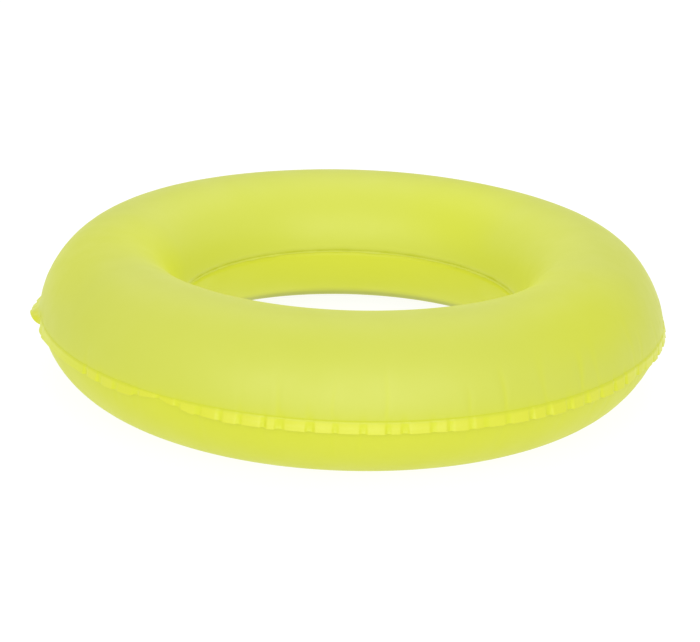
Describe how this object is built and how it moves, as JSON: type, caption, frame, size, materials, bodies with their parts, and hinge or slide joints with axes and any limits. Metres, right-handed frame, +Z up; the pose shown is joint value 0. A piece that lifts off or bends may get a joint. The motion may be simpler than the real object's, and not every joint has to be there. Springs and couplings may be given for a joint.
{
  "type": "swim ring",
  "caption": "Inflatable ring of two welded plastic films with a round tube, a ruffled outer weld flange, a centre hole for the swimmer and a push-in air valve with plug.",
  "frame": {"origin": "on the ring's axis, on the surface that the ring rests on", "axes": "+Z up along the ring's axis; the valve is on the -Y side of the hole"},
  "size_m": [0.4759, 0.476, 0.1073],
  "materials": {
    "film": "satin neon yellow-green soft PVC film, slightly translucent",
    "weld": "satin neon yellow-green double film, heat welded and ruffled",
    "valve": "moulded soft PVC, milky yellow-green"
  },
  "bodies": {
    "ring": {"upper_skin": "film", "lower_skin": "film", "outer_weld_flange": "weld", "inner_weld_flange": "weld", "valve_base": "valve"},
    "stem": {"valve_stem": "valve", "plug_tether": "valve"},
    "flap": {"check_flap": "valve"},
    "plug": {"valve_plug": "valve"}
  },
  "joints": [
    {"name": "stem_pull", "type": "slide", "parent": "ring", "child": "stem", "axis": [0, 0.7835, 0.6214], "range_m": [0, 0.012]},
    {"name": "plug_pull", "type": "slide", "parent": "stem", "child": "plug", "axis": [0, 0.7835, 0.6214], "range_m": [0, 0.012]},
    {"name": "flap_open", "type": "hinge", "parent": "stem", "child": "flap", "pos_m": [0, -0.16009, 0.08001], "axis": [-1, 0, 0], "range_deg": [0, 60], "stiffness_Nm_per_rad": 0.0002}
  ]
}
